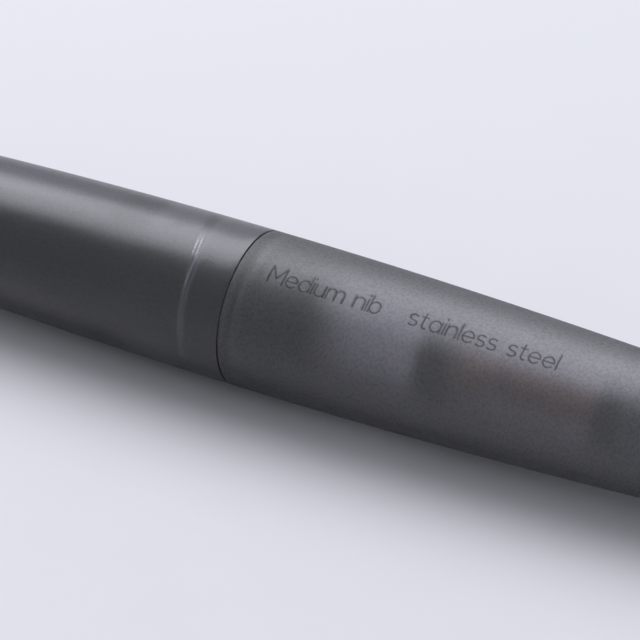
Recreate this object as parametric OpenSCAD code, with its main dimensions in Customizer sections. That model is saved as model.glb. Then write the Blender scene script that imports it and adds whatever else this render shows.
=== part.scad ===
// Capped nib pen with a frosted, spindle-shaped body and a twist-piston converter.
// The pen lies along X with its cap towards -X. "s" is the distance in millimetres
// from the seam between cap and barrel, positive towards the end of the barrel.

/* [Body] */
// Diameter at the seam, where the pen is widest
body_d = 13.5; // [13.3:0.05:13.8]
// Length of the cap, from the seam to its flat end
cap_len = 63; // [62:0.5:66]
// Length of the barrel, from the seam to its flat end
barrel_len = 73; // [72:0.5:75]
// Radius of the long arc that both halves taper along
taper_arc_r = 701; // [690:1:760]
// Radius of the rounding around each flat end
end_round = 0.7; // [0.4:0.1:1.2]
// Gap that shows between the closed cap and the barrel
seam_gap = 0.15; // [0.1:0.01:0.25]

/* [Walls] */
// Bore radius of the cap just behind its thread
cap_bore_r = 5.2; // [5.15:0.01:5.3]
// Bore radius of the barrel at its mouth
barrel_bore_r = 5.15; // [5.12:0.01:5.2]
// How much both bores narrow, in millimetres for each square millimetre of distance
bore_taper = 0.000524; // [0.00050:0.000002:0.00053]
// Thickness of the closed end of the cap
cap_end_wall = 2.6; // [2:0.1:3]
// Thickness of the closed end of the barrel
barrel_end_wall = 5; // [4:0.1:6]

/* [Section] */
// Radius of the plain collar that the mouth of the cap closes over
collar_r = 5.42; // [5.35:0.01:5.44]
// Length of the collar
collar_len = 3.7; // [3.4:0.1:4]
// Core radius of the cap thread on the coupler
thread_core_r = 4.85; // [4.7:0.01:4.9]
// Radius of the tenon that carries the barrel thread
tenon_r = 5.05; // [4.95:0.01:5.06]
// Length of the tenon inside the barrel
tenon_len = 5.8; // [5:0.1:6.2]
// Distance from the seam to the front edge of the grip
grip_front = 31.2; // [30:0.1:32]

/* [Nib] */
// Distance from the seam to the point of the nib
nib_tip_at = 51; // [50:0.1:52]
// Outside radius of the rolled heel of the nib
nib_heel_r = 2.62; // [2.5:0.01:2.63]
// Thickness of the nib's steel sheet
nib_sheet = 0.22; // [0.18:0.01:0.25]
// Number of fins on the feed
fin_count = 11; // [8:1:12]

/* [Converter] */
// Outside radius of the clear tube
tube_r = 3.6; // [3.5:0.01:3.65]
// Bore radius of the clear tube
tube_bore_r = 2.95; // [2.9:0.01:3]
// Distance from the seam to the front of the piston seal at rest
seal_at = 16.4; // [15:0.1:17]
// Thickness of the piston seal
seal_len = 2.5; // [2:0.1:3]
// Radius of the piston rod
rod_r = 1.9; // [1.8:0.01:1.92]
// Number of grip ribs around the knob
rib_count = 20; // [12:1:24]

/* [Hidden] */

$fn = 96;
body_r = body_d / 2;
seam_x = (cap_len - barrel_len) / 2;
fit = 0.05;
arc_steps = 14;
shell_start = 2.5;

// positions along the pen
cap_mouth_len = collar_len + 0.1;
cap_thread_len = 6;
spigot_front = 17;
coupler_front = 9.8;
housing_front = 33;
housing_lip = 1.7;
nib_heel_back = 20;
nib_waist = 36;
breather_at = 41;
converter_front = 8;
chamber_front = 2.5;
sleeve_front = 35;
tube_back = 37.5;
guide_front = 32.6;
guide_back = 42.4;
knob_front = 42.6;
knob_back = 54.5;
knob_end_wall = 1.6;
rod_len = 20;
rod_groove_at = 24.4;
neck_front = 37.9;
clip_at = 39.3;
ring_groove_front = 0.8;
ring_groove_back = 1.5;
housing_step = 14;
housing_floor = 15;
spindle_front = 32.3;
liner_back = 31.35;
liner_front = cap_len - cap_end_wall - 3;

// radii
nipple_r = 1.4;
ink_hole_r = 0.45;
housing_r = 2.97;
housing_bore_r = 2.65;
housing_way_r = housing_r + 0.03;
seal_seat_r = 3.36;
seal_seat_depth = 0.75;
spigot_r = 3.95;
coupler_bore_r = 3.72;
nib_point_r = 0.75;
spindle_r = 1.1;
knob_r = 3;
knob_bore_r = 2.05;
neck_r = 2.75;
clip_depth = 0.27;
ring_groove_depth = 0.4;
rib_r = 0.24;

smoke = "#55565c";
black = "#1d1d1f";
steel = "#b9bcc2";

// Radius of the outer skin at distance s from the seam: one long arc, widest at the seam.
function skin(s) = body_r - taper_arc_r + sqrt(taper_arc_r * taper_arc_r - s * s);

// Radius of a bore that narrows with the square of the distance from the seam.
function bore(r, s) = r - bore_taper * s * s;

// Points of the outer skin from a to b, then the rounding down to the flat end at b.
function skin_outline(a, b) = let (way = sign(b), last = b - way * end_round) concat(
    [for (i = [0:arc_steps]) let (s = a + (last - a) * i / arc_steps) [skin(s), s]],
    [for (q = [15:15:90]) [
        skin(last) - end_round * (1 - cos(q)),
        last + way * end_round * sin(q)
    ]]
);

// Points of a narrowing bore of mouth radius r, from a to b.
function bore_outline(r, a, b) =
    [for (i = [0:arc_steps]) let (s = a + (b - a) * i / arc_steps) [bore(r, s), s]];

// Lays a shape that was drawn along Z on the pen's own axis, with s = 0 at the seam.
module on_axis() {
    translate([seam_x, 0, body_r]) rotate([0, 90, 0]) children();
}

// A solid of revolution from [radius, s] points, its start line turned away from below.
module turned(points, start = 0) {
    on_axis() rotate(start) rotate_extrude() polygon(points);
}

// A plain ring of rectangular section from s = a to s = b.
module ring(inner, outer, a, b) {
    turned([[inner, a], [outer, a], [outer, b], [inner, b]]);
}

// An O-ring flattened by its groove: a ring with chamfered corners.
module seal_ring(inner, outer, a, b) {
    c = (outer - inner) / 3;
    turned([
        [inner, a + c], [inner + c, a], [outer - c, a], [outer, a + c],
        [outer, b - c], [outer - c, b], [inner + c, b], [inner, b - c]
    ]);
}

// Upper shell: counterbore over the collar, thread root, then a long narrowing bore.
module cap_shell() {
    floor_s = -(cap_len - cap_end_wall);
    thread_end = -(cap_mouth_len + cap_thread_len);
    color(smoke) turned(concat(
        skin_outline(-seam_gap, -cap_len),
        [[0, -cap_len], [0, floor_s]],
        bore_outline(cap_bore_r, floor_s, thread_end),
        [
            [cap_bore_r + 0.25, thread_end + 0.3],
            [cap_bore_r + 0.25, -cap_mouth_len],
            [collar_r + 0.08, -cap_mouth_len],
            [collar_r + 0.08, -seam_gap - 0.15],
            [collar_r + 0.23, -seam_gap]
        ]
    ), shell_start);
}

// Thin liner that closes over the front edge of the grip and keeps the nib from drying.
module inner_cap() {
    gap = 0.08;
    color("#8b8c92") turned(concat(
        bore_outline(cap_bore_r - gap, -liner_front, -liner_back),
        [
            [3.45, -liner_back],
            [3.45, -housing_front - 1],
            [bore(cap_bore_r, liner_front) - 0.8, -liner_front + 1],
            [0, -liner_front + 1],
            [0, -liner_front]
        ]
    ));
}

// Waisted sleeve that the fingers hold.
module grip_sleeve() {
    rear = -coupler_front;
    front = -grip_front;
    color(black) turned([
        [spigot_r + 0.03, rear], [4.6, rear], [4.75, rear - 0.2], [4.55, rear - 5],
        [4.25, rear - 10], [4.02, rear - 14], [3.95, rear - 16.5], [4.0, rear - 18.6],
        [4.12, front + 1.2], [4.06, front + 0.5], [3.85, front], [seal_seat_r, front],
        [seal_seat_r, front + seal_seat_depth], [housing_way_r, front + seal_seat_depth],
        [housing_way_r, -spigot_front - 0.1], [spigot_r + 0.03, -spigot_front - 0.1]
    ]);
}

// Middle piece: spigot for the grip, cap thread core, collar, and tenon for the barrel.
module thread_coupler() {
    back = -converter_front - 0.6;
    color(black) turned([
        [housing_way_r, -spigot_front], [spigot_r, -spigot_front], [spigot_r, -coupler_front],
        [thread_core_r - 0.2, -coupler_front], [thread_core_r, -coupler_front + 0.3],
        [thread_core_r, -collar_len - 0.75], [thread_core_r - 0.2, -collar_len - 0.75],
        [thread_core_r - 0.2, -collar_len], [collar_r - 0.15, -collar_len],
        [collar_r, -collar_len + 0.15], [collar_r, 0],
        [tenon_r - 0.35, 0], [tenon_r - 0.35, 0.4], [tenon_r, 0.4], [tenon_r, tenon_len - 0.3],
        [tenon_r - 0.3, tenon_len], [coupler_bore_r, tenon_len], [coupler_bore_r, back],
        [housing_way_r, back]
    ]);
}

module cap_seal() {
    color(black)
        seal_ring(thread_core_r - 0.18, collar_r - 0.1, -collar_len - 0.7, -collar_len - 0.05);
}

module barrel_seal() {
    color(black) seal_ring(
        tenon_r + 0.03, barrel_bore_r + ring_groove_depth - 0.05,
        ring_groove_front + 0.05, ring_groove_back - 0.05);
}

// Plastic carrier of nib and feed, with the nipple that enters the converter.
module nib_housing() {
    lip = -housing_front + housing_lip;
    back = -converter_front - 1;
    nipple_end = -converter_front + 5.2;
    color("#26262a") turned([
        [housing_bore_r, -housing_front], [3.1, -housing_front],
        [3.35, -housing_front + 0.25], [3.35, lip], [housing_r, lip],
        [housing_r, -housing_step], [2.6, -housing_step], [2.6, back], [nipple_r, back],
        [nipple_r, nipple_end - 0.4], [nipple_r - 0.3, nipple_end],
        [ink_hole_r, nipple_end], [ink_hole_r, -housing_floor],
        [housing_bore_r, -housing_floor]
    ]);
}

// Seal squeezed between the flange of the nib housing and the front of the grip.
module housing_seal() {
    front = -grip_front;
    color(black)
        seal_ring(housing_r + 0.02, seal_seat_r - 0.02, front - 0.07, front + seal_seat_depth - 0.05);
}

// Solid that the nib is rolled around: a cylinder, then a cone down to the point.
module nib_former(r_heel, r_point) {
    on_axis() {
        translate([0, 0, -nib_waist]) cylinder(r = r_heel, h = nib_waist - nib_heel_back);
        translate([0, 0, -nib_tip_at])
            cylinder(r1 = r_point, r2 = r_heel, h = nib_tip_at - nib_waist);
    }
}

// Plan outline of the nib, seen from above, as a block that reaches down to height z.
module nib_blank(z) {
    heel = seam_x - nib_heel_back;
    shoulder = seam_x - nib_waist - 1.5;
    tip = seam_x - nib_tip_at;
    translate([0, 0, body_r + z]) linear_extrude(4) polygon([
        [heel, -2.7], [shoulder, -2.7], [shoulder - 3, -1.95], [tip + 4, -0.75],
        [tip, -0.3], [tip, 0.3], [tip + 4, 0.75], [shoulder - 3, 1.95],
        [shoulder, 2.7], [heel, 2.7]
    ]);
}

module nib() {
    slit = 0.08;
    color(steel) difference() {
        intersection() {
            nib_former(nib_heel_r, nib_point_r);
            nib_blank(-0.4);
        }
        nib_former(nib_heel_r - nib_sheet, nib_point_r - nib_sheet);
        translate([seam_x - breather_at, 0, body_r]) cylinder(r = 0.5, h = 4);
        translate([seam_x - nib_tip_at - 1, -slit / 2, body_r])
            cube([nib_tip_at - breather_at + 1, slit, 4]);
    }
}

module nib_tip() {
    color(steel) translate([seam_x - nib_tip_at - 0.2, 0, body_r + nib_point_r - 0.08])
        sphere(r = 0.34);
}

// Feed: round stem in the housing and a finned nose under the nib.
module feed() {
    gap = 0.04;
    heel = nib_heel_r - nib_sheet - gap;
    nose = 48;
    nose_r = heel - (heel - nib_point_r + nib_sheet + gap) * (nose - nib_waist)
        / (nib_tip_at - nib_waist);
    color(black) difference() {
        on_axis() {
            translate([0, 0, -nib_waist]) cylinder(r = heel, h = nib_waist - housing_floor - 0.2);
            translate([0, 0, -nose]) cylinder(r1 = nose_r, r2 = heel, h = nose - nib_waist);
        }
        translate([seam_x - nose - 1, -0.15, body_r + nose_r - 0.2])
            cube([nose - housing_step, 0.3, 4]);
        for (i = [0:fin_count - 1]) feed_slot(-housing_front - 1.6 - 1.05 * i);
    }
}

// One slot between two fins, cut round the nose but not through its core or spine.
module feed_slot(s) {
    depth = 3;
    difference() {
        on_axis() translate([0, 0, s]) cylinder(r = depth, h = 0.45);
        on_axis() translate([0, 0, s - 1]) cylinder(r = 0.6, h = 3);
        translate([seam_x + s - 1, -0.55, body_r]) cube([3, 1.1, depth + 1]);
    }
}

// Clear ink tube with its narrow mouth.
module converter_tube() {
    color([0.85, 0.86, 0.88, 0.5]) turned([
        [nipple_r + fit, -converter_front], [3.1, -converter_front],
        [3.3, -converter_front + 0.3], [3.3, -chamber_front], [tube_r, -chamber_front + 0.5],
        [tube_r, tube_back], [tube_bore_r, tube_back], [tube_bore_r, -chamber_front + 1.2],
        [nipple_r + fit, -chamber_front]
    ]);
}

// Piston seal with a wiping lip at each end.
module piston_seal() {
    lip = tube_bore_r - 0.03;
    color(black) turned([
        [1.42, seal_at], [lip - 0.15, seal_at], [lip, seal_at + 0.3], [lip, seal_at + 0.7],
        [lip - 0.3, seal_at + 0.95], [lip - 0.3, seal_at + seal_len - 0.95],
        [lip, seal_at + seal_len - 0.7], [lip, seal_at + seal_len - 0.3],
        [lip - 0.15, seal_at + seal_len], [1.42, seal_at + seal_len]
    ]);
}

// Hollow rod that the spindle draws back, with a marking groove and two guide flats.
module piston_rod() {
    start = seal_at + seal_len;
    color("#a88a6c") difference() {
        turned([
            [0, seal_at + 0.1], [1.4, seal_at + 0.1], [1.4, start], [rod_r, start],
            [rod_r, rod_groove_at - 0.2], [rod_r - 0.2, rod_groove_at - 0.2],
            [rod_r - 0.2, rod_groove_at + 0.2], [rod_r, rod_groove_at + 0.2],
            [rod_r, start + rod_len - 0.2],
            [rod_r - 0.2, start + rod_len], [spindle_r + 0.1, start + rod_len],
            [spindle_r + 0.1, start + 1.6], [0, start + 1.6]
        ]);
        for (side = [-1, 1]) translate([seam_x + start + 2, side * (rod_r + 1 - 0.3) - 1, 0])
            cube([rod_len, 2, body_d]);
    }
}

// Black insert at the back of the tube: guides the rod and holds the neck of the knob.
module rod_guide() {
    rod_way = rod_r + fit;
    color(black) union() {
        turned([
            [rod_way, guide_front], [tube_bore_r - 0.02, guide_front],
            [tube_bore_r - 0.02, tube_back + 0.05], [tube_r, tube_back + 0.05],
            [tube_r, guide_back], [neck_r + 0.1, guide_back], [neck_r + 0.1, tube_back + 0.1],
            [rod_way, tube_back + 0.1]
        ]);
        intersection() {
            turned([[rod_r - 0.24, guide_front], [rod_way + 0.1, guide_front],
                [rod_way + 0.1, tube_back], [rod_r - 0.24, tube_back]]);
            for (side = [-1, 1])
                translate([seam_x + guide_front, side * (rod_r + 1 - 0.24) - 1, 0])
                    cube([tube_back - guide_front, 2, body_d]);
        }
    }
}

// Metal sleeve that ties tube and guide together.
module converter_sleeve() {
    color("#8f9298") turned([
        [tube_r + 0.01, sleeve_front], [tube_r + 0.1, sleeve_front],
        [tube_r + 0.2, sleeve_front + 0.15], [tube_r + 0.2, guide_back - 0.6],
        [tube_r + 0.1, guide_back - 0.4], [tube_r + 0.01, guide_back - 0.4]
    ]);
}

module knob_clip() {
    color(steel) ring(neck_r - clip_depth + 0.02, neck_r + 0.07, clip_at - 0.25, clip_at + 0.25);
}

// Screw that turns with the knob inside the hollow rod.
module screw_spindle() {
    end = knob_back - knob_end_wall;
    color(black) turned([
        [0, spindle_front], [spindle_r - 0.3, spindle_front], [spindle_r, spindle_front + 0.4],
        [spindle_r, end - 0.05], [0, end - 0.05]
    ]);
}

// Ribbed knob: hollow neck held in the guide, and a closed end that the spindle sits in.
module twist_knob() {
    floor_s = knob_back - knob_end_wall;
    clip_front = clip_at - 0.3;
    clip_back = clip_at + 0.3;
    color(black) difference() {
        turned([
            [knob_bore_r, neck_front], [neck_r, neck_front], [neck_r, clip_front],
            [neck_r - clip_depth, clip_front], [neck_r - clip_depth, clip_back],
            [neck_r, clip_back], [neck_r, knob_front],
            [knob_r + 0.3, knob_front], [knob_r + 0.3, knob_front + 0.9],
            [knob_r, knob_front + 1.1], [knob_r - 0.05, knob_back - 0.6],
            [knob_r - 0.6, knob_back], [0, knob_back], [0, floor_s], [knob_bore_r, floor_s]
        ]);
        for (i = [0:rib_count - 1]) on_axis() rotate(i * 360 / rib_count)
            translate([knob_r + 0.08, 0, knob_front + 1.8]) cylinder(r = rib_r, h = 8.6, $fn = 24);
    }
}

// Lower shell: seal groove, thread zone over the tenon, then a long narrowing bore.
module barrel_shell() {
    floor_s = barrel_len - barrel_end_wall;
    mouth = 0.05;
    color(smoke) turned(concat(
        skin_outline(mouth, barrel_len),
        [[0, barrel_len], [0, floor_s]],
        bore_outline(barrel_bore_r, floor_s, tenon_len + 0.4),
        [
            [barrel_bore_r, tenon_len + 0.1], [barrel_bore_r, ring_groove_back],
            [barrel_bore_r + ring_groove_depth, ring_groove_back],
            [barrel_bore_r + ring_groove_depth, ring_groove_front],
            [barrel_bore_r, ring_groove_front], [barrel_bore_r, mouth + 0.15],
            [barrel_bore_r + 0.15, mouth]
        ]
    ), shell_start);
}

cap_shell();
inner_cap();
grip_sleeve();
thread_coupler();
cap_seal();
barrel_seal();
nib_housing();
housing_seal();
nib();
nib_tip();
feed();
converter_tube();
piston_seal();
piston_rod();
rod_guide();
converter_sleeve();
knob_clip();
screw_spindle();
twist_knob();
barrel_shell();
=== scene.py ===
import math

import bpy
import numpy as np
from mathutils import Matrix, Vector


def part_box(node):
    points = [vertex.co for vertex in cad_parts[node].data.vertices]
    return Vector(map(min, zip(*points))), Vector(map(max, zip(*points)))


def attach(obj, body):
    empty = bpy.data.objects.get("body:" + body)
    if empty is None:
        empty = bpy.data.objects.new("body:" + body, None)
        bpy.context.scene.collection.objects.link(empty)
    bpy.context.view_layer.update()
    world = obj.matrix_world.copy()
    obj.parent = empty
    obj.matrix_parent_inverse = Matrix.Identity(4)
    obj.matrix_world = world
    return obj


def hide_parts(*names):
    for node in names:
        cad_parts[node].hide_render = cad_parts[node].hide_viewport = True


bl_info = {
    "name": "Frosted Nib Pen",
    "version": (1, 0, 0),
    "blender": (4, 5, 0),
    "location": "3D View > Sidebar > Pen",
    "description": "Builds a capped nib pen in frosted smoke plastic, with its feed and ink converter",
    "category": "Add Mesh",
}

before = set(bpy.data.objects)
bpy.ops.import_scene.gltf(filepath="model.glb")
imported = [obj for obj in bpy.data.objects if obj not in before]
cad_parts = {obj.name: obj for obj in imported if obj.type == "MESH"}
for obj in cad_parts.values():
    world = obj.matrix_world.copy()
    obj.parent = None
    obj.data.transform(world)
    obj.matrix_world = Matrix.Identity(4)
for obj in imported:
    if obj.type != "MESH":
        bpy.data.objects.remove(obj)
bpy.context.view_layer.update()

MM = 0.001
SPIGOT_LENGTH = 17.0 * MM  # how far the coupler reaches ahead of the seam
CURVE_POINTS = 6  # a stretch of outline with as many points is a curve
LONGEST_CUT = 0.4  # share of a straight piece that a rounding may take at each end
MERGE_STEP = 1e-9  # vertices that round to one step of this size are merged, in metres
SAME_PLACE = 1e-8  # outline points closer than this are one point, in metres
FULL_TURN = 2 * math.pi


# ---------------------------------------------------------------- places taken from the frame

def span(node):
    """First and last distance of a CAD node along the pen, from the seam, in metres."""
    low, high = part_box(node)
    return low.x - SEAM_X, high.x - SEAM_X


def outer_radius(node):
    """Half the width of a CAD node, in metres."""
    low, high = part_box(node)
    return (high.y - low.y) / 2


BODY_R = outer_radius("barrel_shell")
SEAM_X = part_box("thread_coupler")[0].x + SPIGOT_LENGTH
AXIS_Z = (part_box("barrel_shell")[0].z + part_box("barrel_shell")[1].z) / 2


# ---------------------------------------------------------------- sizes and colours

class PenSizes(bpy.types.PropertyGroup):
    """Sizes that shape the pen's pieces inside the room that the frame gives them."""

    taper_arc: bpy.props.FloatProperty(
        name="Taper arc", description="Radius of the long arc that both halves taper along",
        default=0.701, unit="LENGTH")
    end_round: bpy.props.FloatProperty(
        name="End rounding", description="Radius of the rounding around each flat end",
        default=0.7 * MM, unit="LENGTH")
    lip_round: bpy.props.FloatProperty(
        name="Lip rounding", description="Rounding of the edges at the seam and at every mouth",
        default=0.05 * MM, unit="LENGTH")
    bore_taper: bpy.props.FloatProperty(
        name="Bore taper", description="How fast both bores narrow, in 1/m: taper x distance squared",
        default=0.524)
    cap_bore: bpy.props.FloatProperty(
        name="Cap bore", description="Radius of the cap's bore behind its thread",
        default=5.2 * MM, unit="LENGTH")
    barrel_bore: bpy.props.FloatProperty(
        name="Barrel bore", description="Radius of the barrel's bore at its mouth",
        default=5.15 * MM, unit="LENGTH")
    cap_lead: bpy.props.FloatProperty(
        name="Cap thread lead", description="Travel of the cap in one turn",
        default=6.0 * MM, unit="LENGTH")
    cap_starts: bpy.props.IntProperty(
        name="Cap thread starts", description="Number of separate ridges in the cap's thread",
        default=1, min=1)
    barrel_lead: bpy.props.FloatProperty(
        name="Barrel thread lead", description="Travel of the barrel in one turn",
        default=3.0 * MM, unit="LENGTH")
    barrel_starts: bpy.props.IntProperty(
        name="Barrel thread starts", description="Number of separate ridges in the barrel's thread",
        default=3, min=1)
    thread_height: bpy.props.FloatProperty(
        name="Thread height", description="How far a thread ridge stands up from its root",
        default=0.26 * MM, unit="LENGTH")
    word_height: bpy.props.FloatProperty(
        name="Word height", description="Height of a capital letter engraved on the barrel",
        default=1.6 * MM, unit="LENGTH")
    word_stroke: bpy.props.FloatProperty(
        name="Engraved stroke", description="Half the width of an engraved stroke",
        default=0.075 * MM, unit="LENGTH")
    word_depth: bpy.props.FloatProperty(
        name="Engraving depth", description="Depth of the engraved strokes",
        default=0.12 * MM, unit="LENGTH")
    nib_sheet: bpy.props.FloatProperty(
        name="Nib sheet", description="Thickness of the nib's steel",
        default=0.22 * MM, unit="LENGTH")
    slit_width: bpy.props.FloatProperty(
        name="Nib slit", description="Width of the slit between the tines",
        default=0.06 * MM, unit="LENGTH")
    fin_pitch: bpy.props.FloatProperty(
        name="Fin pitch", description="Distance from one fin of the feed to the next",
        default=0.9 * MM, unit="LENGTH")
    bore_polish: bpy.props.FloatProperty(
        name="Bore polish", description="Polish of the barrel's bore, from 0 frosted to 1 bright",
        default=0.6, min=0.0, max=1.0)
    cap_absorb: bpy.props.FloatVectorProperty(
        name="Cap absorption", description="Red, green and blue lost in the cap's plastic, in 1/m",
        default=(385.0, 385.0, 368.0), size=3)
    barrel_absorb: bpy.props.FloatVectorProperty(
        name="Barrel absorption", description="Red, green and blue lost in the barrel's plastic, in 1/m",
        default=(312.0, 315.0, 300.0), size=3)
    rib_count: bpy.props.IntProperty(
        name="Knob ribs", description="Number of grip ribs round the knob",
        default=20, min=6)


class PenColours(bpy.types.PropertyGroup):
    """Colours of the pen's plastics and metals, linear red, green and blue."""

    smoke_cap: bpy.props.FloatVectorProperty(
        name="Cap smoke", description="Tint of light that passes through the cap",
        default=(0.72, 0.71, 0.76), subtype="COLOR", size=3)
    smoke_barrel: bpy.props.FloatVectorProperty(
        name="Barrel smoke", description="Tint of light that passes through the barrel",
        default=(0.79, 0.785, 0.81), subtype="COLOR", size=3)
    black: bpy.props.FloatVectorProperty(
        name="Black plastic", description="Colour of grip, coupler, feed, guide and knob",
        default=(0.012, 0.012, 0.013), subtype="COLOR", size=3)
    liner: bpy.props.FloatVectorProperty(
        name="Liner", description="Colour of the liner inside the cap",
        default=(0.05, 0.05, 0.055), subtype="COLOR", size=3)
    rubber: bpy.props.FloatVectorProperty(
        name="Rubber", description="Colour of the seals",
        default=(0.01, 0.01, 0.01), subtype="COLOR", size=3)
    silicone: bpy.props.FloatVectorProperty(
        name="Silicone", description="Colour of the pale ring between cap and coupler",
        default=(0.72, 0.72, 0.74), subtype="COLOR", size=3)
    rod: bpy.props.FloatVectorProperty(
        name="Piston rod", description="Colour of the converter's tan rod",
        default=(0.62, 0.42, 0.30), subtype="COLOR", size=3)
    steel: bpy.props.FloatVectorProperty(
        name="Steel", description="Colour of the nib and of the clip in the knob",
        default=(0.56, 0.56, 0.57), subtype="COLOR", size=3)
    sleeve: bpy.props.FloatVectorProperty(
        name="Sleeve", description="Colour of the converter's metal sleeve",
        default=(0.20, 0.20, 0.21), subtype="COLOR", size=3)
    floor: bpy.props.FloatVectorProperty(
        name="Floor", description="Colour of the pale table",
        default=(0.55, 0.545, 0.565), subtype="COLOR", size=3)


def sizes():
    return bpy.context.scene.pen_sizes


def colours():
    return bpy.context.scene.pen_colours


# ---------------------------------------------------------------- outlines and surfaces

def skin(s):
    """Radius of the outer skin: the body's radius less the sagitta of one long arc at distance s."""
    arc = sizes().taper_arc
    return BODY_R - arc + np.sqrt(arc * arc - s * s)


def bore(radius, s):
    """Radius of a bore that narrows with the square of its distance from the seam."""
    return radius - sizes().bore_taper * s * s


def stretch(radius_at, start, end, step):
    """A curved stretch of outline: points (s, radius_at(s)) from start to end, about step apart."""
    s = np.linspace(start, end, max(3, int(round(abs(end - start) / step)) + 1))
    return np.column_stack([s, radius_at(s) + 0 * s])


def line(*points):
    """A straight stretch of outline through (s, r) points given in millimetres."""
    return np.array(points, float) * MM


def straight(path):
    """The straight stretches between the points of a path, one after another."""
    return [path[i:i + 2] for i in range(len(path) - 1)]


def outline(stretches, rounding=0.0, closed=False):
    """Joins stretches end to end and rounds each corner with a quadratic curve of the given size.

    A stretch of fewer than CURVE_POINTS points counts as straight pieces. Each of those gets a support
    point beside both corners, so that smooth shading stays flat.
    """
    pieces = []
    for points in stretches:
        if len(points) < CURVE_POINTS:
            pieces += straight(points)
        else:
            pieces.append(points)
    count = len(pieces)
    curve = np.linspace(0, 1, 5)[:, None]
    rows = []
    for i, piece in enumerate(pieces):
        piece = piece.copy()
        cuts = [None, None]
        for side, (end, near) in enumerate([(0, 1), (-1, -2)]):
            at_open_end = not closed and i == (0, count - 1)[side]
            if at_open_end or rounding == 0:
                continue
            away = piece[near] - piece[end]
            length = np.hypot(*away)
            cuts[side] = away / length * min(rounding, LONGEST_CUT * length)
        corner = piece[-1].copy()
        if cuts[0] is not None:
            piece[0] += cuts[0]
        if cuts[1] is not None:
            piece[-1] += cuts[1]
        if len(piece) == 2:
            along = piece[1] - piece[0]
            length = np.hypot(*along)
            support = min(0.3, 1.5 * rounding / length) if length > 0 else 0.3
            piece = piece[0] + np.array([0, support, 1 - support, 1])[:, None] * along
        rows.append(piece)
        if cuts[1] is not None:
            following = pieces[(i + 1) % count]
            away = following[1] - following[0]
            length = np.hypot(*away)
            start, end = piece[-1], corner + away / length * min(rounding, LONGEST_CUT * length)
            bend = (1 - curve) ** 2 * start + 2 * curve * (1 - curve) * corner + curve ** 2 * end
            rows.append(bend[1:-1])
    points = np.vstack(rows)
    keep = np.ones(len(points), bool)
    keep[1:] = np.hypot(*np.diff(points, axis=0).T) > SAME_PLACE
    return points[keep]


def even_angles(count):
    """Angles of a full turn, evenly spaced. Zero is the top of the pen; they grow towards its front."""
    return np.arange(count) * FULL_TURN / count


def ring_faces(rows, count, closed=False):
    """Row numbers, column numbers and corners of the faces of a grid whose rows are rings.

    closed joins the last ring to the first.
    """
    i, j = np.meshgrid(np.arange(rows if closed else rows - 1), np.arange(count), indexing="ij")
    i2, j2 = (i + 1) % rows, (j + 1) % count
    corners = np.stack([i * count + j, i * count + j2, i2 * count + j2, i2 * count + j], -1)
    return i, j, corners.reshape(-1, 4)


def turned_surface(name, points, angles, radius_of=None, closed=False):
    """A surface of revolution: each outline point (s, r) is carried round the pen's axis.

    A point at angle a lies at x = seam + s, y = -r sin a, z = axis + r cos a. radius_of(s, r, a, row)
    may change the radius anywhere, to raise threads or cut grooves, and gives with it the relief: 1
    where the surface is polished, -1 where it is cut in and dark. An open outline starts and ends
    on the axis, where its row shrinks to one point. UV is arc length round by length along, in metres.
    """
    s = np.repeat(points[:, :1], len(angles), 1)
    r = np.repeat(points[:, 1:], len(angles), 1)
    a = np.repeat(angles[None, :], len(points), 0)
    relief = 0 * r
    if radius_of is not None:
        rows = np.repeat(np.arange(len(points))[:, None], len(angles), 1)
        r, relief = radius_of(s, r, a, rows)
    grid = np.stack([SEAM_X + s, -r * np.sin(a), AXIS_Z + r * np.cos(a)], -1)
    m, n = grid.shape[:2]
    i, j, corners = ring_faces(m, n, closed)
    length = np.concatenate([[0], np.cumsum(np.hypot(*np.diff(points, axis=0).T))])
    around = np.append(angles, FULL_TURN) * points[:, 1].max()
    tall = length[-1] + np.hypot(*(points[0] - points[-1])) if closed else length[-1]
    v0, v1 = length[i], np.where(i + 1 < m, length[np.minimum(i + 1, m - 1)], tall)
    uv = np.stack([
        np.stack([around[j], v0], -1), np.stack([around[j + 1], v0], -1),
        np.stack([around[j + 1], v1], -1), np.stack([around[j], v1], -1)], 2).reshape(-1, 4, 2)
    return solid_mesh(name, grid.reshape(-1, 3), corners, uv, relief.reshape(-1))


def seen_from_above(vertices, corners):
    """UV of each face corner as its place across and along the pen, in metres."""
    return vertices[corners][..., [1, 0]]


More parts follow.
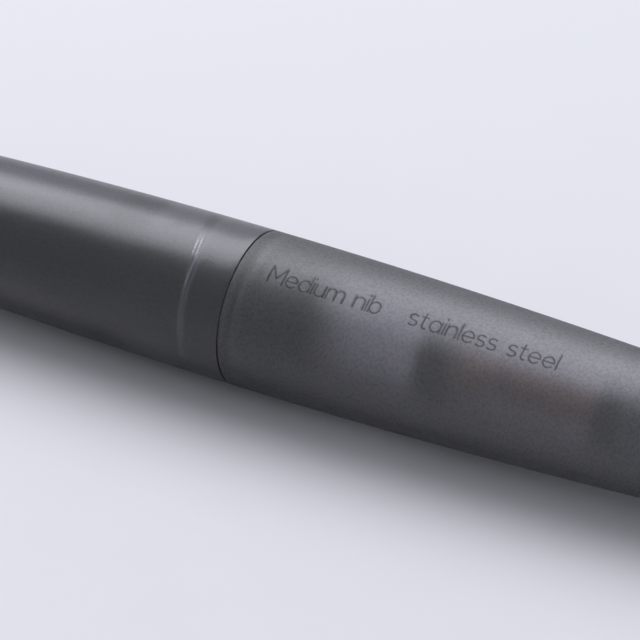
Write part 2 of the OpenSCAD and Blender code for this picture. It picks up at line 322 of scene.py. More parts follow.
def solid_mesh(name, vertices, corners, uv, relief=None):
    """Makes one closed mesh object from four-cornered faces given as rows of vertex numbers.

    Vertices in one place are merged, faces that lose a corner become triangles and lost faces are
    dropped. If the volume inside comes out negative, every face is turned over.
    """
    _, first, merged = np.unique(
        np.round(vertices / MERGE_STEP).astype(np.int64), axis=0, return_index=True, return_inverse=True)
    vertices = vertices[first]
    corners = merged.reshape(-1)[corners]
    keep = corners != np.roll(corners, 1, axis=1)
    good = keep.sum(1) >= 3
    corners, keep = corners[good], keep[good]
    p = vertices[corners]
    volume = (np.einsum("ij,ij->i", p[:, 0], np.cross(p[:, 1], p[:, 2]))
              + np.einsum("ij,ij->i", p[:, 0], np.cross(p[:, 2], p[:, 3]))).sum()
    if volume < 0:
        corners, keep = corners[:, ::-1], keep[:, ::-1]
    totals = keep.sum(1)
    mesh = bpy.data.meshes.new(name)
    mesh.vertices.add(len(vertices))
    mesh.vertices.foreach_set("co", vertices.astype(np.float32).ravel())
    mesh.loops.add(int(totals.sum()))
    mesh.loops.foreach_set("vertex_index", corners[keep].astype(np.int32))
    mesh.polygons.add(len(totals))
    mesh.polygons.foreach_set("loop_start", (np.cumsum(totals) - totals).astype(np.int32))
    mesh.polygons.foreach_set("use_smooth", np.ones(len(totals), bool))
    mesh.update(calc_edges=True)
    uv = uv[good][:, ::-1] if volume < 0 else uv[good]
    layer = mesh.uv_layers.new(name="UVMap")
    layer.uv.foreach_set("vector", uv[keep].astype(np.float32).ravel())
    if relief is not None:
        layer = mesh.attributes.new("relief", "FLOAT", "POINT")
        layer.data.foreach_set("value", relief[first].astype(np.float32))
    mesh.validate()
    piece = bpy.data.objects.new(name, mesh)
    bpy.context.scene.collection.objects.link(piece)
    return piece


def finish_piece(piece, body, node, material):
    """Gives a piece its material, its body, its slot in the record and the CAD node it stands for."""
    piece.data.materials.append(material)
    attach(piece, body)
    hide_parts(node)


def turned_piece(name, node, body, material, points, angles, radius_of=None, closed=False):
    """Turns an outline into the finished piece of one CAD node."""
    piece = turned_surface(name, points, angles, radius_of, closed)
    finish_piece(piece, body, node, material)
    return piece


def ramp(x, low, high):
    """0 below low, 1 above high, and the smooth curve 3t^2 - 2t^3 between."""
    t = np.clip((x - low) / (high - low), 0, 1)
    return t * t * (3 - 2 * t)


def ridge(s, a, lead, starts, through, half_top, half_foot):
    """Height of a right-handed thread, from 0 at its root to 1 at its crest.

    Crest lines climb by lead in one turn and one of them passes the point through = (s, a). Away
    from a crest line the height falls from 1 at half_top to 0 at half_foot, measured along the pen.
    """
    pitch = lead / starts
    off = s - through[0] - lead * (a - through[1]) / FULL_TURN
    off = (off + pitch / 2) % pitch - pitch / 2
    return 1 - ramp(np.abs(off), half_top, half_foot)


def rounded_loop(s, r, half_length, half_height, power=2.6, count=44):
    """Section of a rubber ring: the curve |ds/a|^p + |dr/b|^p = 1 round its centre (s, r), in mm."""
    angle = np.linspace(0, FULL_TURN, count, endpoint=False)
    c, d = np.cos(angle), np.sin(angle)
    ds = np.sign(c) * np.abs(c) ** (2 / power) * half_length
    dr = np.sign(d) * np.abs(d) ** (2 / power) * half_height
    return np.column_stack([s + ds, r + dr]) * MM


def ring_of(points_mm, rounding=0.06):
    """Closed outline of a ring through (s, r) points in mm, its corners rounded."""
    return outline(straight(line(*points_mm, points_mm[0])), rounding * MM, closed=True)


# ---------------------------------------------------------------- shell of the cap

CAP_THREAD_AT = (-4.02 * MM, math.radians(52.5))
BARREL_THREAD_AT = (2.0 * MM, 0.0)
CAP_LIP = -0.07 * MM
COUNTERBORE_R = 5.5 * MM
CAP_ROOT_R = 5.46 * MM
CAP_THREAD_END = -9.8 * MM
CAP_BORE_START = -13.5 * MM
CAP_WALL_R = 5.7 * MM


def cap_outline():
    """Outer skin from the end to the lip, counterbore, thread root, bore and floor, in that order."""
    z, cap_end = sizes(), span("cap_shell")[0]
    corner = cap_end + z.end_round
    turn = np.linspace(0, math.pi / 2, 8)
    nose = np.column_stack([
        corner - z.end_round * np.cos(turn),
        skin(corner) - z.end_round + z.end_round * np.sin(turn)])
    skin_rows = stretch(skin, corner, CAP_LIP, 1.0 * MM)
    end_face = np.array([[cap_end, 0.0], [cap_end, nose[0, 1]]])
    mouth = np.vstack([skin_rows[-1:], line((-0.07, 5.66), (-0.3, 5.5), (-2.4, 5.5))])
    way = stretch(lambda s: COUNTERBORE_R, -2.4 * MM, -3.8 * MM, 0.06 * MM)
    step = line((-3.8, 5.5), (-3.8, 5.46))
    root = np.vstack([
        stretch(lambda s: CAP_ROOT_R, -3.8 * MM, -5.6 * MM, 0.06 * MM),
        stretch(lambda s: CAP_ROOT_R, -5.75 * MM, CAP_THREAD_END, 0.15 * MM)])
    floor_s = cap_end + 2.6 * MM
    runout = np.array([
        [CAP_THREAD_END, CAP_ROOT_R], [CAP_BORE_START, bore(z.cap_bore, CAP_BORE_START)]])
    hollow = stretch(lambda s: bore(z.cap_bore, s), CAP_BORE_START, floor_s, 1.4 * MM)
    floor_face = np.array([[floor_s, hollow[-1, 1]], [floor_s, 0.0]])
    return outline(
        [end_face, nose, skin_rows, *straight(mouth), way, step, root, runout, hollow, floor_face],
        z.lip_round)


def build_cap():
    """Cap shell: a turned surface whose inner thread stands in from the root of its mouth.

    The thread's height grows smoothly from nothing at -9.4 mm to full at -7 mm and ends at -3.4 mm.
    """
    z = sizes()
    cap_floor = span("cap_shell")[0] + 2.5 * MM

    def radius_of(s, r, a, row):
        zone = ramp(s, -9.4 * MM, -7.0 * MM) * (1 - ramp(s, -3.6 * MM, -3.4 * MM))
        inside = (r < COUNTERBORE_R) & (s > -10 * MM)
        crest = ridge(s, a, z.cap_lead, z.cap_starts, CAP_THREAD_AT, 0.12 * MM, 0.26 * MM)
        return r - inside * zone * z.thread_height * crest, 1.0 * (r < CAP_WALL_R) * (s > cap_floor)

    turned_piece(
        "Cap_shell", "cap_shell", "cap", frosted_cap(), cap_outline(), even_angles(264),
        radius_of)


def build_liner():
    """Cap liner: a cup turned to follow the cap's bore, with its mouth over the front of the grip."""
    z = sizes()
    back, front = span("inner_cap")
    outside = stretch(lambda s: bore(z.cap_bore, s) - 0.08 * MM, back, front, 1.3 * MM)
    cup = line((front / MM, 3.47), (-34.0, 3.5), (-36.0, 3.95), (-44.0, 3.4), (-55.5, 2.6),
               (back / MM + 1.0, 2.1), (back / MM + 1.0, 0))
    stretches = [
        np.array([[back, 0.0], [back, outside[0, 1]]]), outside,
        np.array([[front, outside[-1, 1]], [front, 3.47 * MM]])]
    turned_piece(
        "Cap_liner", "inner_cap", "cap_liner", moulded_liner(),
        outline(stretches + straight(cup), 0.15 * MM), even_angles(160))


# ---------------------------------------------------------------- words engraved on the barrel

def arc(cx, cy, rx, ry, start, end, count=12):
    """Part of an ellipse, from one angle in degrees to another, as points of a stroke."""
    angle = np.radians(np.linspace(start, end, count))
    return np.column_stack([cx + rx * np.cos(angle), cy + ry * np.sin(angle)])


def letter_strokes():
    """Width and strokes of each letter, in units of the height of a capital."""
    bowl = arc(0.3, 0.34, 0.3, 0.34, 0, 360, 25)
    dot = np.array([[0, 0.93], [0, 0.98]])

    def stem(x, low, high):
        return np.array([[x, low], [x, high]])

    def arch(x, half):
        return np.vstack([arc(x + half, 0.42, half, 0.26, 180, 0, 10), [[x + 2 * half, 0]]])

    return {
        "M": (0.84, [np.array([[0, 0], [0, 1], [0.42, 0.28], [0.84, 1], [0.84, 0]])]),
        "e": (0.6, [np.vstack([[[0.0, 0.34]], arc(0.3, 0.34, 0.3, 0.34, 0, 318, 24)])]),
        "d": (0.6, [bowl, stem(0.6, 0, 1)]),
        "b": (0.6, [bowl, stem(0, 0, 1)]),
        "a": (0.6, [bowl, stem(0.6, 0, 0.68)]),
        "i": (0.0, [stem(0, 0, 0.68), dot]),
        "l": (0.0, [stem(0, 0, 1)]),
        "u": (0.54, [np.vstack([[[0, 0.68]], arc(0.27, 0.27, 0.27, 0.27, 180, 360)]),
                     stem(0.54, 0, 0.68)]),
        "m": (0.96, [stem(0, 0, 0.68), arch(0, 0.24), arch(0.48, 0.24)]),
        "n": (0.54, [stem(0, 0, 0.68), arch(0, 0.27)]),
        "s": (0.46, [np.vstack([
            arc(0.23, 0.51, 0.21, 0.17, 40, 270), arc(0.23, 0.17, 0.23, 0.17, 90, -140)])]),
        "t": (0.36, [np.vstack([[[0.14, 0.92]], arc(0.30, 0.16, 0.16, 0.16, 180, 290, 8)]),
                     np.array([[0.0, 0.68], [0.34, 0.68]])]),
        " ": (0.3, []),
    }


def word_segments(words, start, end):
    """Straight pieces of the strokes of some words, spaced to run from start to end, in metres."""
    letters, height = letter_strokes(), sizes().word_height
    widths = np.array([letters[c][0] for c in words]) * height
    gap = (end - start - widths.sum()) / (len(words) - 1)
    places = start + np.concatenate([[0], np.cumsum(widths + gap)[:-1]])
    ends = [
        np.hstack([stroke[:-1] * height + [place, 0], stroke[1:] * height + [place, 0]])
        for c, place in zip(words, places) for stroke in letters[c][1]]
    return np.vstack(ends)


def stroke_distance(x, y, segments):
    """Distance from each point (x, y) to the nearest straight piece of a stroke."""
    nearest = np.full(x.shape, 1.0)
    for x0, y0, x1, y1 in segments:
        dx, dy = x1 - x0, y1 - y0
        t = np.clip(((x - x0) * dx + (y - y0) * dy) / (dx * dx + dy * dy + 1e-18), 0, 1)
        nearest = np.minimum(nearest, np.hypot(x - x0 - t * dx, y - y0 - t * dy))
    return nearest


# ---------------------------------------------------------------- shell of the barrel

BASELINE = math.radians(31.4)
WORD_ZONE = math.radians(35.0)
BARREL_MOUTH = 0.05 * MM
BARREL_THREAD_R = 5.15 * MM
BARREL_BORE_END = 68.1 * MM
BARREL_WALL_R = 5.7 * MM


def barrel_outline():
    """Floor, bore, thread zone, seal groove and mouth, then the outer skin to the flat end."""
    z, end = sizes(), span("barrel_shell")[1]
    corner = end - z.end_round
    turn = np.linspace(0, math.pi / 2, 8)
    nose = np.column_stack([
        corner + z.end_round * np.sin(turn),
        skin(corner) - z.end_round + z.end_round * np.cos(turn)])
    s = np.concatenate([
        np.linspace(BARREL_MOUTH, 2.5 * MM, 4)[:-1], np.arange(2.5, 29.9, 0.075) * MM,
        np.linspace(29.9 * MM, corner, 34)])
    skin_rows = np.column_stack([s, skin(s)])
    floor_s = end - 5 * MM
    hollow = stretch(lambda s: bore(z.barrel_bore, s), floor_s, 6.4 * MM, 1.3 * MM)
    thread = stretch(lambda s: BARREL_THREAD_R, 6.1 * MM, 1.6 * MM, 0.12 * MM)
    front = line(
        (1.6, 5.15), (1.5, 5.15), (1.5, 5.55), (0.8, 5.55), (0.8, 5.15), (0.2, 5.15), (0.05, 5.3))
    return outline(
        [np.array([[floor_s, 0.0], [floor_s, hollow[0, 1]]]), hollow,
         np.array([hollow[-1], thread[0]]), thread]
        + straight(front)
        + [np.array([front[-1], skin_rows[0]]), skin_rows, nose,
           np.array([[end, nose[-1, 1]], [end, 0.0]])],
        z.lip_round)


def build_barrel():
    """Barrel shell: a turned surface with a female thread and two engraved words on its upper front.

    The thread is a shallow groove in the bore between 1.6 and 6.1 mm. A stroke is a groove whose depth
    falls off smoothly from the middle of the line to its edge.
    """
    z = sizes()
    segments = np.vstack([
        word_segments("Medium nib", 3.0 * MM, 13.3 * MM),
        word_segments("stainless steel", 16.0 * MM, 29.3 * MM)])
    fine = np.radians(np.arange(14.0, 35.0, 0.5))
    coarse = np.linspace(fine[-1], fine[0] + FULL_TURN, 108)[1:-1]
    angles = np.concatenate([fine, coarse])

    def radius_of(s, r, a, row):
        zone = ramp(s, 1.6 * MM, 2.0 * MM) * (1 - ramp(s, 5.7 * MM, 6.1 * MM))
        inside = (r < 5.4 * MM) & (s > 1.55 * MM) & (s < 6.2 * MM)
        crest = ridge(s, a, z.barrel_lead, z.barrel_starts, BARREL_THREAD_AT, 0.1 * MM, 0.48 * MM)
        r = r + inside * zone * 0.03 * MM * (1 - crest)
        band = (r > 6.0 * MM) & (s > 2.6 * MM) & (s < 29.8 * MM) & (a < WORD_ZONE)
        height = (BASELINE - a[band]) * BODY_R
        near = stroke_distance(s[band], height, segments)
        cut = 1 - ramp(near, 0.5 * z.word_stroke, 1.5 * z.word_stroke)
        relief = z.bore_polish * (r < BARREL_WALL_R) * (s < BARREL_BORE_END)
        # Engraved strokes get a relief down to -1: painted shade darkens the colour in each groove.
        relief[band] = -cut
        r[band] -= z.word_depth * cut
        return r, relief

    turned_piece(
        "Barrel_shell", "barrel_shell", "barrel", frosted_barrel(), barrel_outline(),
        angles, radius_of)


# ---------------------------------------------------------------- section: grip, coupler and seals

def grip_radius(s):
    """Waisted grip: two cosine and square curves that meet at the narrowest place, 26.3 mm ahead."""
    waist, rear, front = -26.3 * MM, -10.0 * MM, -30.0 * MM
    swell = (1 - np.cos(math.pi * (s - waist) / (rear - waist))) / 2
    flare = ((s - waist) / (front - waist)) ** 2
    return 3.95 * MM + np.where(s > waist, 0.8 * MM * swell, 0.17 * MM * flare)


def build_grip():
    """Grip sleeve: a waisted tube with a rolled front edge and a seat for the seal behind the flange."""
    front = span("grip_sleeve")[0]
    outside = stretch(grip_radius, -10.0 * MM, -30.3 * MM, 0.5 * MM)
    nose = line((outside[-1, 0] / MM, outside[-1, 1] / MM), (-30.9, 4.05), (front / MM, 3.8),
                (front / MM, 3.36), (-30.45, 3.36), (-30.45, 3.0), (-17.1, 3.0), (-17.1, 3.98),
                (-9.8, 3.98), (-9.8, 4.6), (-10.0, outside[0, 1] / MM))
    turned_piece(
        "Grip_sleeve", "grip_sleeve", "section", black_plastic("Grip plastic", 0.42, 900),
        outline([outside] + straight(nose), 0.14 * MM, closed=True), even_angles(192), closed=True)


def build_coupler():
    """Coupler: spigot, cap thread, collar and barrel tenon on one tube, its ridges raised by 0.25 mm."""
    z = sizes()
    cap_root, tenon_root, near = 4.85 * MM, 4.8 * MM, 0.02 * MM
    cap_thread = stretch(lambda s: cap_root, -9.6 * MM, -4.45 * MM, 0.12 * MM)
    tenon = stretch(lambda s: tenon_root, 1.7 * MM, 5.4 * MM, 0.12 * MM)
    first = line((-17.0, 3.0), (-17.0, 3.95), (-9.8, 3.95), (-9.8, 4.65), (-9.6, 4.85))
    middle = line((-4.45, 4.85), (-4.45, 4.65), (-3.7, 4.65), (-3.7, 5.42), (0.0, 5.42), (0.0, 4.7),
                  (0.4, 4.7), (0.4, 5.05), (1.6, 5.05), (1.7, 4.8))
    last = line(
        (5.4, 4.8), (5.5, 5.0), (5.8, 4.75), (5.8, 3.72), (-8.6, 3.72), (-8.6, 3.0), (-17.0, 3.0))
    points = outline(
        straight(first) + [cap_thread] + straight(middle) + [tenon] + straight(last),
        0.07 * MM, closed=True)

    def radius_of(s, r, a, row):
        front = ramp(s, -9.6 * MM, -9.1 * MM) * (1 - ramp(s, -5.0 * MM, -4.5 * MM))
        on_front = (abs(r - cap_root) < near) & (s < -4.4 * MM)
        back = ramp(s, 1.7 * MM, 2.1 * MM) * (1 - ramp(s, 5.0 * MM, 5.4 * MM))
        on_back = (abs(r - tenon_root) < near) & (s > 1.65 * MM)
        between = (CAP_THREAD_AT[0] + z.cap_lead / z.cap_starts / 2, CAP_THREAD_AT[1])
        cap_crest = ridge(s, a, z.cap_lead, z.cap_starts, between, 0.5 * MM, 0.8 * MM)
        barrel_crest = ridge(s, a, z.barrel_lead, z.barrel_starts, BARREL_THREAD_AT, 0.15 * MM, 0.4 * MM)
        raised = on_front * front * cap_crest + on_back * back * barrel_crest
        return r + 0.25 * MM * raised, 0 * r

    turned_piece(
        "Thread_coupler", "thread_coupler", "section",
        black_plastic("Coupler plastic", 0.36, 700), points, even_angles(216), radius_of, closed=True)


def build_seals():
    """Rings of the cap, the barrel and the nib unit: fat ovals turned round the axis.

    Relief is -1 within 0.06 mm of the middle and 0 beyond 0.14 mm, so a dark line runs round each ring.
    """
    rings = [
        ("Cap_seal", "cap_seal", "section", 0.325, silicone),
        ("Barrel_seal", "barrel_seal", "barrel_ring", 0.21, rubber),
        ("Housing_seal", "housing_seal", "section", 0.175, rubber)]
    for name, node, body, half, material in rings:
        first, last = span(node)
        half *= MM
        points = rounded_loop(
            (first + last) / 2 / MM, (outer_radius(node) - half) / MM, (last - first) / 2 / MM, half / MM)
        middle = (first + last) / 2 + 0.05 * MM

        def radius_of(s, r, a, row):
            # The middle of each ring gets relief -1: a line painted dark as shade.
            return r, -1 + ramp(np.abs(s - middle), 0.06 * MM, 0.14 * MM)

        turned_piece(
            name, node, body, material(), points, even_angles(144), radius_of, closed=True)


# ---------------------------------------------------------------- nib unit

BREATHER_AT = -41 * MM
BREATHER_R = 0.5 * MM


def build_housing():
    """Nib housing: a flanged tube that narrows to the nipple, with a fine ink hole."""
    front = span("nib_housing")[0] / MM
    points = ring_of([
        (front, 2.65), (front, 3.1), (front + 0.25, 3.35), (front + 1.7, 3.35), (front + 1.7, 2.97),
        (-14.0, 2.97), (-14.0, 2.6), (-9.0, 2.6), (-9.0, 1.4), (-3.2, 1.4), (-2.8, 1.1), (-2.8, 0.45),
        (-15.0, 0.45), (-15.0, 2.65)], 0.1)
    turned_piece(
        "Nib_housing", "nib_housing", "section",
        black_plastic("Housing plastic", 0.24, 500), points, even_angles(144), closed=True)


def nib_radius(s):
    """Outside of the nib: a cylinder of 2.62 mm behind the waist, then a cone to 0.75 mm at the point."""
    return np.interp(s / MM, [-51.0, -36.6, -35.4, -20.0], [0.75, 2.53, 2.615, 2.62]) * MM


def nib_reach(s):
    """Angle from the top of the nib to its edge: wide heel, drawn-in shoulders, slim tines."""
    degrees = np.interp(
        s / MM, [-51, -49, -47, -45, -43, -42, -41, -40, -39, -38, -37, -20],
        [20, 30, 36, 42.5, 52, 58.5, 67, 78, 89, 96.5, 99, 99])
    return np.radians(degrees)


def nib_opening(s):
    """Half the width of what opens on the centre line: a round breather hole, then the slit."""
    hole = np.sqrt(np.clip(BREATHER_R ** 2 - (s - BREATHER_AT) ** 2, 0, None))
    slit = np.where(s < BREATHER_AT, sizes().slit_width / 2, 0.0)
    return np.maximum(hole, slit)


def nib_half(side):
    """Half of the nib as vertices and faces: outer and inner sheet, edge, heel, point, slit wall."""
    s = np.concatenate([
        np.linspace(-20, -40.5, 62)[:-1], -41 + 0.5 * np.cos(np.linspace(0, math.pi, 15)),
        np.linspace(-41.5, -51, 48)[1:]]) * MM
    across = np.linspace(0, 1, 22)
    outer = nib_radius(s)
    start = np.arcsin(nib_opening(s) / outer)
    angle = start[:, None] + across[None, :] * (nib_reach(s) - start)[:, None]
    thin = 0.35 * ramp(across, 0.9, 1.0)
    sheet = sizes().nib_sheet * (1 - thin[None, :])
    layers = []
    for radius in (outer[:, None] + 0 * angle, outer[:, None] - sheet):
        layers.append(np.stack([
            SEAM_X + s[:, None] + 0 * angle, -side * radius * np.sin(angle),
            AXIS_Z + radius * np.cos(angle)], -1))
    m, n = angle.shape
    vertices = np.concatenate([layer.reshape(-1, 3) for layer in layers])
    number = np.arange(m * n).reshape(m, n)
    top, low = number, number + m * n

    def quads(a, b, c, d):
        return np.stack([a.ravel(), b.ravel(), c.ravel(), d.ravel()], -1)

    faces = [
        quads(top[:-1, :-1], top[:-1, 1:], top[1:, 1:], top[1:, :-1]),
        quads(low[:-1, :-1], low[1:, :-1], low[1:, 1:], low[:-1, 1:]),
        quads(top[:-1, -1], low[:-1, -1], low[1:, -1], top[1:, -1]),
        quads(top[0, :-1], low[0, :-1], low[0, 1:], top[0, 1:]),
        quads(top[-1, :-1], top[-1, 1:], low[-1, 1:], low[-1, :-1])]
    opened = (start[:-1] > 0) | (start[1:] > 0)
    faces.append(quads(top[:-1, 0][opened], top[1:, 0][opened], low[1:, 0][opened], low[:-1, 0][opened]))
    faces = np.concatenate(faces)
    return vertices, faces if side > 0 else faces[:, ::-1]


def build_nib():
    """Nib: two mirrored halves of one curved sheet that join behind the breather hole."""
    halves = [nib_half(1), nib_half(-1)]
    vertices = np.concatenate([v for v, f in halves])
    faces = np.concatenate([halves[0][1], halves[1][1] + len(halves[0][0])])
    nib = solid_mesh("Nib", vertices, faces, seen_from_above(vertices, faces))
    finish_piece(nib, "section", "nib", nib_steel())


def build_nib_point():
    """Point: a small egg-shaped pellet with a groove that carries the slit on over its top."""
    low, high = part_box("nib_tip")
    centre, half = (low + high) / 2, (high - low) / 2
    along = np.linspace(0, math.pi, 40)[:, None]
    angles = np.linspace(0, FULL_TURN, 64, endpoint=False)[None, :]
    girth = np.sin(along) * (1 + 0.12 * np.cos(along))
    y = np.sin(angles) * girth
    groove = 0.16 * (1 - ramp(np.abs(y), 0.07, 0.14)) * (np.cos(angles) > 0)
    grid = np.stack([
        centre.x + half.x * np.cos(along) + 0 * angles, centre.y + half.y * 0.82 * y,
        centre.z + half.z * 0.95 * np.cos(angles) * girth * (1 - groove)], -1)
    vertices, corners = grid.reshape(-1, 3), ring_faces(*grid.shape[:2])[2]
    point = solid_mesh("Nib_point", vertices, corners, seen_from_above(vertices, corners))
    finish_piece(point, "section", "nib_tip", ground_metal())


def build_feed():
    """Feed: stem and coned nose whose fins are cut by dropping the radius, with a channel on top.

    Slots leave a spine of 16 degrees to each side of the top and a core of 0.6 mm. The channel is a
    groove 4 degrees to each side, 0.2 mm deep.
    """
    z = sizes()
    rear, front = span("feed")[1], span("feed")[0]
    waist, heel, nose = -36.0 * MM, 2.36 * MM, 0.87 * MM
    core, channel_depth = 0.6 * MM, 0.2 * MM

    def cone(s):
        return np.where(s > waist, heel, heel + (nose - heel) * (s - waist) / (front - waist))

    pitch, width = z.fin_pitch, 0.38 * z.fin_pitch
    starts = -34.6 * MM - pitch * np.arange(int((front + 35.4 * MM) / -pitch))
    edges = np.sort(np.concatenate([starts, starts - width]))[::-1]
    s = [np.array([rear, rear - 0.15 * MM, -24 * MM, -30 * MM, -34 * MM])]
    cut = [np.zeros(5)]
    for first, last in zip(edges[0::2], edges[1::2]):
        s.append(np.array([first, first, last, last]))
        cut.append(np.array([0, 1, 1, 0]))
    s.append(np.array([front + 0.3 * MM, front]))
    cut.append(np.zeros(2))
    s, cut = np.concatenate(s), np.concatenate(cut)
    r = cone(s)
    r[0] -= 0.15 * MM
    r[-1] *= 0.72
    points = np.column_stack([np.r_[s[0], s, s[-1]], np.r_[0.0, r, 0.0]])
    cut = np.r_[0, cut, 0]
    spine, channel, step = math.radians(16), math.radians(4), math.radians(0.05)
    marks = np.array([channel, channel + step, spine, spine + step])
    around = np.linspace(spine + 0.05, FULL_TURN - spine - 0.05, 120)
    angles = np.concatenate([[0.0, 0.5 * channel], marks, around, FULL_TURN - marks[::-1],
                             [FULL_TURN - 0.5 * channel]])

    def radius_of(s, r, a, row):
        away = np.minimum(a, FULL_TURN - a)
        slotted = (cut[row] > 0) & (away > spine + step / 2)
        grooved = (away < channel + step / 2) & (r > 0.3 * MM)
        return np.where(slotted, core, r) - grooved * channel_depth, 0 * r

    sharpen(turned_piece(
        "Feed", "feed", "section", black_plastic("Feed plastic", 0.5, 600), points, angles,
        radius_of))


def sharpen(piece, angle=30.0):
    """Keeps edges that are steeper than the angle sharp, by marking them on the mesh."""
    piece.data.set_sharp_from_angle(angle=math.radians(angle))


# ---------------------------------------------------------------- converter

def flat_radius(a, half):
    """Radius at angle a of two flats that stand half apart from the axis: half / |sin a|."""
    return half / np.maximum(np.abs(np.sin(a)), 0.05)


def build_tube():
    """Clear ink tube: a turned tube that narrows to the mouth that takes the nipple."""
    rear = span("converter_tube")[1] / MM
    points = ring_of([
        (-8.0, 1.45), (-8.0, 3.1), (-7.7, 3.3), (-2.5, 3.3), (-2.0, 3.6), (rear, 3.6), (rear, 2.95),
        (-1.3, 2.95), (-2.5, 1.45)], 0.12)
    turned_piece(
        "Converter_tube", "converter_tube", "converter", clear_tube(), points,
        even_angles(128), closed=True)


def build_piston():
    """Piston: a rubber seal with a wiping lip at each end, on a tan rod with two flats and a groove."""
    first, last = (v / MM for v in span("piston_seal"))
    points = ring_of([
        (first, 1.42), (first, 2.75), (first + 0.25, 2.92), (first + 0.7, 2.92), (first + 1.0, 2.62),
        (last - 1.0, 2.62), (last - 0.7, 2.92), (last - 0.25, 2.92), (last, 2.75), (last, 1.42)], 0.12)
    turned_piece(
        "Piston_seal", "piston_seal", "piston", rubber(), points, even_angles(128),
        closed=True)
    rear = span("piston_rod")[1] / MM
    path = line(
        (first + 0.1, 0), (first + 0.1, 1.4), (last, 1.4), (last, 1.9), (20.6, 1.9), (20.9, 1.9),
        (24.2, 1.9), (24.2, 1.7), (24.6, 1.7), (24.6, 1.9), (rear - 0.2, 1.9), (rear, 1.7), (rear, 1.2),
        (last + 1.6, 1.2), (last + 1.6, 0))

    def radius_of(s, r, a, row):
        flat = flat_radius(a, 1.6 * MM)
        groove = np.abs(s - 24.4 * MM) < 0.21 * MM
        # The groove gets relief -1: shade painted into it as a dark line round the rod.
        return np.where((s > 20.75 * MM) & (r > 1.45 * MM), np.minimum(r, flat), r), -1.0 * groove

    sharpen(turned_piece(
        "Piston_rod", "piston_rod", "piston", rod_plastic(),
        outline(straight(path), 0.06 * MM), even_angles(160), radius_of), 25)


def build_guide():
    """Guide: black insert whose bore has two flats for the rod, and the grey metal sleeve over it."""
    first, last = (v / MM for v in span("rod_guide"))
    points = ring_of([
        (first, 1.95), (first, 2.93), (37.55, 2.93), (37.55, 3.6), (last, 3.6), (last, 2.85),
        (37.6, 2.85), (37.6, 1.95)], 0.07)

    def radius_of(s, r, a, row):
        flat = flat_radius(a, 1.66 * MM)
        return np.where((s < 37.58 * MM) & (r < 2.2 * MM), np.minimum(r, flat), r), 0 * r

    turned_piece(
        "Rod_guide", "rod_guide", "converter", black_plastic("Guide plastic", 0.4, 600),
        points, even_angles(144), radius_of, closed=True)
    first, last = (v / MM for v in span("converter_sleeve"))
    points = ring_of([
        (first, 3.61), (first, 3.7), (first + 0.15, 3.8), (last - 0.2, 3.8), (last, 3.7),
        (last, 3.61)], 0.05)
    turned_piece(
        "Converter_sleeve", "converter_sleeve", "converter", sleeve_metal(), points,
        even_angles(144), closed=True)


def build_knob():
    """Knob: a neck, a flange and a ribbed grip. Ribs are what circles of 0.26 mm leave between them.

    A cutting circle centred at radius c, t radians off, lowers the surface to
    c cos t - sqrt(e^2 - c^2 sin^2 t) wherever it reaches inside the knob's radius.
    """
    z = sizes()
    last = span("twist_knob")[1] / MM
    neck = line((last - 1.6, 0), (last - 1.6, 2.05), (37.9, 2.05), (37.9, 2.75), (39.0, 2.75),
                (39.0, 2.48), (39.6, 2.48), (39.6, 2.75), (42.6, 2.75), (42.6, 3.3), (43.5, 3.3),
                (43.7, 3.0))
    grip = stretch(lambda s: 3.0 * MM, 43.7 * MM, (last - 0.8) * MM, 0.25 * MM)
    end = line((last - 0.8, 3.0), (last, 2.4), (last, 0))
    points = outline(straight(neck) + [grip] + straight(end), 0.1 * MM)
    centre, edge = 3.08 * MM, 0.26 * MM

    def radius_of(s, r, a, row):
        pitch = FULL_TURN / z.rib_count
        off = (a + pitch / 2) % pitch - pitch / 2
        reach = edge ** 2 - (centre * np.sin(off)) ** 2
        dip = np.where(reach > 0, centre * np.cos(off) - np.sqrt(np.clip(reach, 0, None)), 1.0)
        zone = ramp(s, 44.2 * MM, 44.7 * MM) * (1 - ramp(s, (last - 1.6) * MM, (last - 1.1) * MM))
        lowered = np.minimum(r, dip)
        return np.where(r > 2.9 * MM, r + (lowered - r) * zone, r), 0 * r

    turned_piece(
        "Twist_knob", "twist_knob", "knob", black_plastic("Knob plastic", 0.4, 600), points,
        even_angles(480), radius_of)


def build_spindle():
    """Spindle: a screw of 1.08 mm radius with a three-start thread of 4 mm lead, inside the hollow rod."""
    first, last = (v / MM for v in span("screw_spindle"))
    lead, starts = 4 * MM, 3
    path = [line((first, 0), (first, 0.7)), line((first, 0.7), (first + 0.4, 1.08)),
            stretch(lambda s: 1.08 * MM, (first + 0.4) * MM, (last - 0.2) * MM, 0.12 * MM),
            line((last - 0.2, 1.08), (last, 1.08)), line((last, 1.08), (last, 0))]

    def radius_of(s, r, a, row):
        opening = ramp(s, (first + 0.6) * MM, (first + 1.2) * MM)
        zone = opening * (1 - ramp(s, (last - 2) * MM, (last - 1) * MM))
        crest = ridge(s, a, lead, starts, (0.0, 0.0), 0.2 * MM, 0.5 * MM)
        return np.where(r > 1.0 * MM, r - 0.26 * MM * zone * (1 - crest), r), 0 * r

    turned_piece(
        "Screw_spindle", "screw_spindle", "knob",
        black_plastic("Spindle plastic", 0.3, 600), outline(path, 0.05 * MM), even_angles(96), radius_of)


